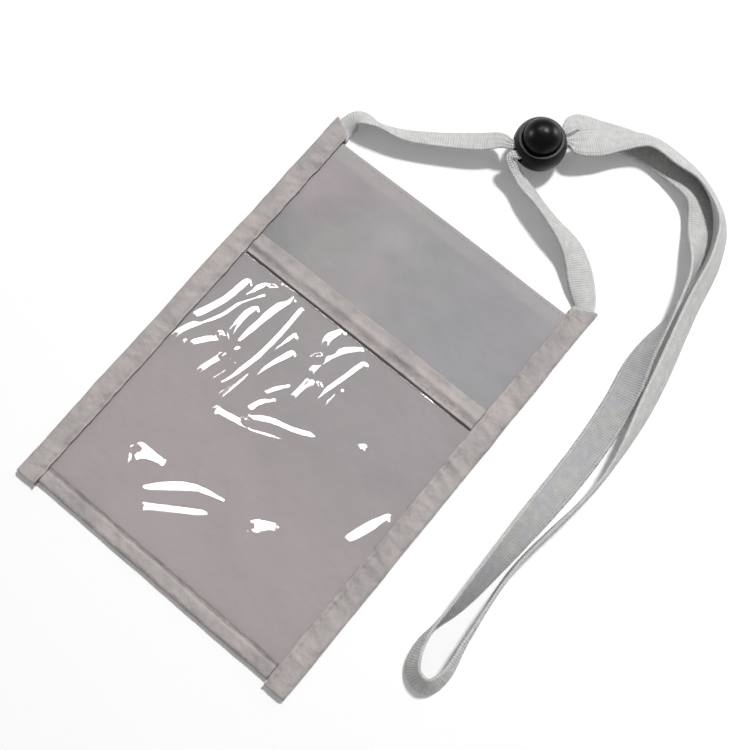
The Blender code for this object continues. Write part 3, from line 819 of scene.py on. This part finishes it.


# Neck strap

# Points of the strap, as in the model's source: x and y in millimetres and roll about its run in
# degrees, then the height of its lower edge and how much it is gathered, where these aren't 0.5 mm and 0
leftArm = (
    (-55.4, 94, -30, 0.9, 0.15),
    (-48.5, 95.8, -60),
    (-37, 100, -46),
    (-14.3, 114.3, -32, 3.2),
    (-6.6, 119.4, -16, 7.4, 0.45),
)
loopArm = (
    (11, 143.9, -4, 7.2, 0.5),
    (20.5, 149.4, -6, 2.2),
    (33, 154.6, -4),
    (48, 155.3, -10, 0.5, 0.05),
    (64.5, 151.8, -24),
    (73.7, 141.1, -20),
    (81.2, 124.1, -72),
    (84.7, 106.1, -94),
    (86, 87.4, -134),
    (90, 68.7, -166),
    (92, 43.5, -180),
    (91.2, 8, -212),
    (89.8, -25, -246),
    (87.7, -44.7, -282),
    (91.7, -54.7, -296),
    (98.5, -55.7, -296),
    (101.3, -49.5, -290),
    (99.5, -34, -278),
    (97, -6, -268),
    (101.9, 42, -276),
    (97.8, 74.5, -304),
    (88.8, 114.3, -303),
    (84.8, 134.6, -300),
    (77.7, 148.7, -297),
    (62.7, 157.1, -302, 1),
    (51.3, 158.2, -314, 1.8),
    (37.2, 157.2, -316, 2.4),
    (28, 149.5, -336, 4),
    (22.4, 142.4, -356, 7.9),
    (16.3, 136.2, -360, 9.9, 0.35),
)
rightArm = (
    (8.3, 113, -390, 4.4, 0.75),
    (17.5, 110.7, -414, 1.6, 0.15),
    (27.5, 108, -414, 0.8),
    (41, 104, -392),
    (51.5, 95.8, -372, 0.7, 0.1),
)
lace = {
    "width": 11.5 * mm, "thickness": 1.4 * mm, "usual": (0.5, 0),
    "gatheredWidth": 3.8 * mm, "gatheredThickness": 2.2 * mm,
    "tuck": 6.5 * mm, "tuckStep": 5 * mm, "endGather": 0.45, "endInset": 1.5 * mm,
    "step": 0.9 * mm, "acrossSteps": 22, "bead": 0.12 * mm,
    "pleats": 3.5, "pleatDepth": 0.22 * mm, "pleatReach": 17 * mm,
    "cup": 0.07, "sway": 0.1 * mm, "beadShare": 0.87, "beadWidth": 0.07, "length": 0.759,
}
lock = {
    "x": 6 * mm, "y": 127.6 * mm, "turn": 55, "grip": 9.5 * mm, "strandOffset": 2.4 * mm,
    "outwardShares": (-1.1, -0.7, 0.7, 1.1), "returnShares": (1.1, 0.7, -0.9, -1.3),
    "ballRadius": 10.3 * mm, "height": 15.5 * mm, "rimRadius": 8.65 * mm, "rimWall": 0.85 * mm,
    "rimStep": 0.7 * mm, "stemRadius": 7.2 * mm, "domeHeight": 6.6 * mm, "domeRise": 0.8 * mm,
    "clearance": 0.3 * mm, "boreFloor": 4 * mm, "seatFloor": 1.8 * mm, "seatRadius": 3.05 * mm, "recess": 1.8 * mm,
    "holeWidth": 9.8 * mm, "holeHeight": 5 * mm, "holeRound": 1 * mm, "travel": 2.2 * mm,
    "wire": 0.5 * mm, "springRadius": 2.5 * mm, "springTurns": 4, "wireSteps": (12, 48),
    "edgeRound": 0.4 * mm, "footRound": 0.3 * mm, "boreRound": 0.15 * mm, "seatRound": 0.1 * mm,
}
ballZ = lock["height"] - sqrt(lock["ballRadius"] ** 2 - lock["rimRadius"] ** 2)
strandZ = ballZ + lock["holeHeight"] / 2 - lock["clearance"] - lace["gatheredThickness"] / 2


def laceSize(gather):
    width = lace["width"] + (lace["gatheredWidth"] - lace["width"]) * gather
    thickness = lace["thickness"] + (lace["gatheredThickness"] - lace["thickness"]) * gather
    return width / 2, thickness / 2


def lyingRows(rows):
    placed = []
    for row in rows:
        x, y, roll, clear, gather = (*row, *lace["usual"][len(row) - 3:])
        halfWidth, halfThickness = laceSize(gather)
        rise = halfWidth * abs(sin(radians(roll))) + halfThickness * abs(cos(radians(roll)))
        placed.append((x * mm, y * mm, clear * mm + rise, roll, gather))
    return placed


def lockRows(offset, shares, roll):
    turn = radians(lock["turn"])
    placed = []
    for share in shares:
        along = share * lock["grip"]
        x = lock["x"] + along * cos(turn) - offset * sin(turn)
        y = lock["y"] + along * sin(turn) + offset * cos(turn)
        placed.append((x, y, strandZ, roll, 1))
    return placed


def tuckedRows(side, roll):
    halfWidth = laceSize(lace["endGather"])[0]
    x = side * (outerX - lace["endInset"] - halfWidth)
    lowY = topY - lace["tuck"]
    return [(x, y, tapeHeight / 2, roll, lace["endGather"]) for y in (lowY, lowY + lace["tuckStep"])]


def laceRoute():
    rows = tuckedRows(-1, 0) + lyingRows(leftArm) + lockRows(lock["strandOffset"], lock["outwardShares"], 0)
    rows += lyingRows(loopArm) + lockRows(-lock["strandOffset"], lock["returnShares"], -360)
    rows += lyingRows(rightArm) + tuckedRows(1, -360)[::-1]
    return [Vector(row) for row in rows]


def curveThrough(points, step):
    # Centripetal Catmull-Rom curve; numbers past the third follow along
    def mix(first, second, start, end, time):
        return ((end - time) * first + (time - start) * second) / (end - start)

    guide = [2 * points[0] - points[1], *points, 2 * points[-1] - points[-2]]
    line = []
    for p0, p1, p2, p3 in zip(guide, guide[1:], guide[2:], guide[3:]):
        t1 = sqrt((p1 - p0).xyz.length)
        t2 = t1 + sqrt((p2 - p1).xyz.length)
        t3 = t2 + sqrt((p3 - p2).xyz.length)
        steps = max(1, round((p2 - p1).xyz.length / step))
        for index in range(steps):
            time = t1 + (t2 - t1) * index / steps
            a1, a2, a3 = mix(p0, p1, 0, t1, time), mix(p1, p2, t1, t2, time), mix(p2, p3, t2, t3, time)
            b1, b2 = mix(a1, a2, 0, t2, time), mix(a2, a3, t1, t3, time)
            line.append(mix(b1, b2, t1, t2, time))
    line.append(points[-1])
    return line


def makeLace(material):
    line = curveThrough(laceRoute(), lace["step"])
    last = len(line) - 1
    lengths = [0]
    for first, second in zip(line, line[1:]):
        lengths.append(lengths[-1] + (second - first).xyz.length)
    frames = []
    for index, (x, y, z, roll, gather) in enumerate(line):
        run = (line[min(index + 1, last)].xyz - line[max(index - 1, 0)].xyz).normalized()
        level = Vector((0, 0, 1)).cross(run).normalized()
        upright = run.cross(level)
        across = cos(radians(roll)) * level + sin(radians(roll)) * upright
        frames.append((Vector((x, y, z)), across, run.cross(across), gather))
    shares = stepped(1, -1, lace["acrossSteps"])
    ring = [(share, 1) for share in shares] + [(-share, -1) for share in shares[1:]]

    def place(u, v):
        index = round(v * last)
        share, face = ring[round(u * (len(ring) - 1))]
        middle, across, up, gather = frames[index]
        halfWidth, halfThickness = laceSize(gather)
        fromLock = (middle.xy - Vector((lock["x"], lock["y"]))).length
        pleat = fade(lace["pleatReach"] + lock["grip"] - fromLock, 0, lace["pleatReach"])
        edge = sqrt(max(0, 1 - abs(share) ** 5))
        wave = lace["pleatDepth"] * pleat * sin(2 * pi * lace["pleats"] * share / 2 + 1.3 * ripple(v * 60, 1.1))
        cup = lace["cup"] * halfWidth * (1 - gather) * (0.4 - share**2)
        sway = lace["sway"] * ripple(lengths[index] * 110, share * 1.6, 6.0) * (1 - gather)
        bead = lace["bead"] * exp(-(((abs(share) - lace["beadShare"]) / lace["beadWidth"]) ** 2)) * (1 - pleat)
        offset = face * edge * (halfThickness * (1 - 0.25 * pleat) + bead) + wave * edge + cup + sway
        return middle + across * halfWidth * share + up * offset

    size = (lace["width"] * 2, lengths[-1])
    bm = closeUp(gridShape(len(ring) - 1, last, place, size), 0.002 * mm)
    piece = addPiece("neckLace", bm, [material])
    print(f"strap: {len(line)} sections, {lengths[-1]:.4f} m")
    return piece, [point.xyz for point in line[::4]] + [line[-1].xyz]


# Cord lock

def softened(corners, steps=4):
    # A turned outline of (radius, height, rounding); each corner becomes a small curve
    outline = []
    count = len(corners)
    for index, (r, z, rounding) in enumerate(corners):
        here = Vector((r, z))
        if not rounding or index in (0, count - 1):
            outline.append(here)
            continue
        before = Vector(corners[index - 1][:2]) - here
        after = Vector(corners[index + 1][:2]) - here
        reach = min(rounding, before.length * 0.45, after.length * 0.45)
        a, b = here + before.normalized() * reach, here + after.normalized() * reach
        for step in range(steps + 1):
            t = step / steps
            outline.append(a * (1 - t) ** 2 + here * 2 * t * (1 - t) + b * t**2)
    return outline


def turnedShape(outline, closed):
    bm = bmesh.new()
    verts = [bm.verts.new((point[0], 0, point[1])) for point in outline]
    pairs = list(zip(verts, verts[1:])) + ([(verts[-1], verts[0])] if closed else [])
    edges = [bm.edges.new(pair) for pair in pairs]
    bmesh.ops.spin(bm, geom=verts + edges, cent=(0, 0, 0), axis=(0, 0, 1), angle=2 * pi,
                   steps=96, use_merge=True, use_duplicate=False)
    bmesh.ops.remove_doubles(bm, verts=bm.verts, dist=0.01 * mm)
    bmesh.ops.recalc_face_normals(bm, faces=bm.faces)
    return bm


def cutStrapWay(piece, centreZ):
    # The slot that both strands run through
    bm = bmesh.new()
    bmesh.ops.create_cube(bm, size=1)
    size = (3 * lock["ballRadius"], lock["holeWidth"], lock["holeHeight"])
    bmesh.ops.scale(bm, vec=size, verts=bm.verts)
    lengthwise = [edge for edge in bm.edges if abs((edge.verts[0].co - edge.verts[1].co).x) > size[1]]
    bmesh.ops.bevel(bm, geom=lengthwise, offset=lock["holeRound"], segments=5, profile=0.5,
                    affect="EDGES", material=-1)
    bmesh.ops.translate(bm, vec=(0, 0, centreZ), verts=bm.verts)
    cutter = addPiece(piece.name + "Cutter", bm, [])
    cut = piece.modifiers.new("strapWay", "BOOLEAN")
    cut.object = cutter
    graph = bpy.context.evaluated_depsgraph_get()
    carved = bpy.data.meshes.new_from_object(piece.evaluated_get(graph))
    piece.modifiers.clear()
    piece.data = carved
    bpy.data.objects.remove(cutter)
    carved.shade_smooth()
    carved.set_sharp_from_angle(angle=radians(38))
    turn = Matrix.Rotation(radians(lock["turn"]), 4, "Z")
    carved.transform(Matrix.Translation((lock["x"], lock["y"], 0)) @ turn)
    return piece


def makeBarrel(plastic):
    start = asin((lock["height"] - ballZ) / lock["ballRadius"])
    end = -asin(ballZ / lock["ballRadius"])
    ball = arcPoints((0, ballZ), lock["ballRadius"], start, end, 30)
    bore = lock["stemRadius"] + lock["clearance"]
    rimInner = lock["rimRadius"] - lock["rimWall"]
    step, seat = lock["height"] - lock["rimStep"], lock["seatRadius"]
    corners = [(*ball[0], lock["edgeRound"])] + [(*point, 0) for point in ball[1:-1]]
    corners += [(*ball[-1], lock["footRound"]), (0, 0, 0), (0, lock["seatFloor"], 0)]
    corners += [(seat, lock["seatFloor"], 0), (seat, lock["boreFloor"], lock["seatRound"])]
    corners += [(bore, lock["boreFloor"], 0), (bore, step, lock["boreRound"])]
    corners += [(rimInner, step, lock["boreRound"]), (rimInner, lock["height"], lock["edgeRound"])]
    barrel = addPiece("lockBarrelShell", turnedShape(softened(corners), True), [plastic])
    return cutStrapWay(barrel, ballZ)


def makeButton(plastic):
    domeZ = lock["height"] + lock["domeRise"]
    foot = lock["boreFloor"] + lock["clearance"] + lock["travel"]
    dome = arcPoints((0, 0), 1, pi / 2, 0, 24)
    corners = [(across * lock["stemRadius"], domeZ + up * lock["domeHeight"], 0) for across, up in dome]
    corners += [(lock["stemRadius"], foot, lock["footRound"]), (lock["seatRadius"], foot, lock["seatRound"])]
    corners += [(lock["seatRadius"], foot + lock["recess"], 0), (0, foot + lock["recess"], 0)]
    button = addPiece("lockButtonDome", turnedShape(softened(corners), False), [plastic])
    return cutStrapWay(button, ballZ + lock["travel"])


def springEnds():
    # From its seat in the barrel to its recess in the button
    return lock["seatFloor"] + lock["clearance"], lock["boreFloor"] + lock["travel"] + lock["recess"]


def makeSpring(steel):
    wire = lock["wire"] / 2
    low, high = springEnds()
    low, high = low + wire, high - wire
    turns = lock["springTurns"]

    def place(u, v):
        angle = 2 * pi * turns * v
        out = Vector((cos(angle), sin(angle), 0))
        middle = out * lock["springRadius"] + Vector((0, 0, low + (high - low) * v))
        way = out * cos(2 * pi * u) + Vector((0, 0, 1)) * sin(2 * pi * u)
        return middle + way * wire + Vector((lock["x"], lock["y"], 0))

    sides, stepsPerTurn = lock["wireSteps"]
    bm = closeUp(gridShape(sides, stepsPerTurn * turns, place), 0.005 * mm)
    return addPiece("lockSpringCoil", bm, [steel])


# Floor and light

studio = {
    "floor": (0.92, 0.92, 0.92), "floorGlow": 0.11, "world": 0.27,
    "key": {"power": 48, "from": (0.02, 0.5, 0.865), "distance": 2.4, "size": 0.26},
    "farDistance": 3.0, "glossSize": 0.46, "glossPower": 9.3, "glossTilt": 10,
    "glossTurns": (90, 112.5, 135, 157.5, 180),
    "sideSize": 1.0, "sidePower": 52, "sideFrom": ((-0.873, -0.338, 0.327), (0.45, 0.865, 0.213)),
}


def makeFloor():
    # White for the camera and for mirrored rays, plain for all others
    bm = bmesh.new()
    bmesh.ops.create_grid(bm, x_segments=1, y_segments=1, size=3)
    material, tree, shader = newMaterial("paleFloor", studio["floor"], Roughness=0.9, Specular_IOR_Level=0.0)
    path = addNode(tree, "LightPath")
    seen = calc(tree, "MAXIMUM", path.outputs["Is Camera Ray"], path.outputs["Is Glossy Ray"])
    strength = times(tree, seen, studio["floorGlow"])
    glow = addNode(tree, "Emission", {"Color": (1, 1, 1, 1), "Strength": strength})
    both = addNode(tree, "AddShader", {0: shader.outputs[0], 1: glow.outputs[0]})
    tree.links.new(both.outputs[0], tree.nodes["Material Output"].inputs["Surface"])
    addPiece("floor", bm, [material], smooth=False)


def addLamp(name, power, direction, distance, size):
    data = bpy.data.lights.new(name, "AREA")
    data.energy = power
    data.size = size
    lamp = bpy.data.objects.new(name, data)
    way = Vector(direction).normalized()
    lamp.location = Vector(shot["target"]) + way * distance
    lamp.rotation_euler = way.to_track_quat("Z", "Y").to_euler()
    scene.collection.objects.link(lamp)
    return lamp


def makeLight():
    world = bpy.data.worlds.new("studio")
    world.use_nodes = True
    tree = world.node_tree
    path = addNode(tree, "LightPath")
    seen = times(tree, path.outputs["Is Camera Ray"], 1 - studio["world"])
    strength = calc(tree, "ADD", seen, studio["world"])
    tree.nodes["Background"].inputs["Color"].default_value = (1, 1, 1, 1)
    tree.links.new(strength, tree.nodes["Background"].inputs["Strength"])
    scene.world = world
    key = studio["key"]
    addLamp("keyLamp", key["power"], key["from"], key["distance"], key["size"])
    # Lamps that only show as highlights: some where the film's tilted flanks mirror them, some beside the lock
    view = viewWay()
    tilt = radians(studio["glossTilt"])
    ways = [("side", way) for way in studio["sideFrom"]]
    for turn in studio["glossTurns"]:
        facet = Vector((sin(tilt) * cos(radians(turn)), sin(tilt) * sin(radians(turn)), cos(tilt)))
        ways.append(("gloss", 2 * facet.dot(view) * facet - view))
    for index, (kind, way) in enumerate(ways):
        power, size = studio[kind + "Power"], studio[kind + "Size"]
        lamp = addLamp(f"{kind}Lamp{index + 1}", power, way, studio["farDistance"], size)
        lamp.visible_diffuse = False


def settle(piece, body, slot, *nodes):
    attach(piece, body)
    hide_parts(*nodes)


def build():
    makeCamera()
    plastic = makePlasticMaterial()
    barrel, button = makeBarrel(plastic), makeButton(plastic)
    spring = makeSpring(makeSteelMaterial())
    strap, path = makeLace(makeLaceMaterial())
    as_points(path)
    settle(strap, "pouch", "woven_lace", "neck_strap")
    settle(barrel, "lock", "black_plastic", "lock_barrel")
    settle(spring, "lock", "spring_steel", "lock_spring")
    settle(button, "button", "black_plastic", "lock_plunger")
    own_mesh(spring)
    print("strap and lock made")

    nylon = makeNylon("panelNylon", "panel", "panel")
    # The dark edge material is painted shade for the rim faces of film and tapes
    tapeNylon, edge = makeNylon("tapeNylon", "tape", "tape"), makeNylon("paintedShadeEdge", "paintedShadeEdge", "tape")
    film = makeFilmMaterial()
    thread = makeThreadMaterial()
    settle(makeBackPanel(nylon), "pouch", "nylon", "back_panel")
    settle(makeFrontPanel(nylon), "pouch", "nylon", "front_panel")
    settle(makeFilm(film, edge), "pouch", "clear_vinyl", "window_film")
    settle(makeWindowHem(tapeNylon), "pouch", "nylon", "window_hem")
    for side, tape in zip(("left", "right", "bottom"), makeBindings(tapeNylon, edge)):
        settle(tape, "pouch", "nylon_tape", f"{side}_binding")
    print("pouch made")

    def overPanel(x, y):
        return frontHigh.z + pouchWave(x, y)

    def overHem(x, y):
        return hemLow.z + hemShape["plies"] + 0.15 * mm + pouchWave(x, y)

    seams = [(side, overTape(side)) for side in ("left", "right", "bottom")]
    for name, surface in seams + [("top", overPanel), ("window", overHem)]:
        node = f"{name}_seam_thread"
        settle(makeSeam(f"{name}SeamStitches", node, surface, thread), "pouch", "thread", node)
        if name in ("left", "right"):
            node = f"{name}_bar_tack"
            settle(makeTack(f"{name}TackStitches", node, surface, thread), "pouch", "thread", node)
    print("stitches made")
    makeFloor()
    makeLight()
    print("floor and light made")


build()
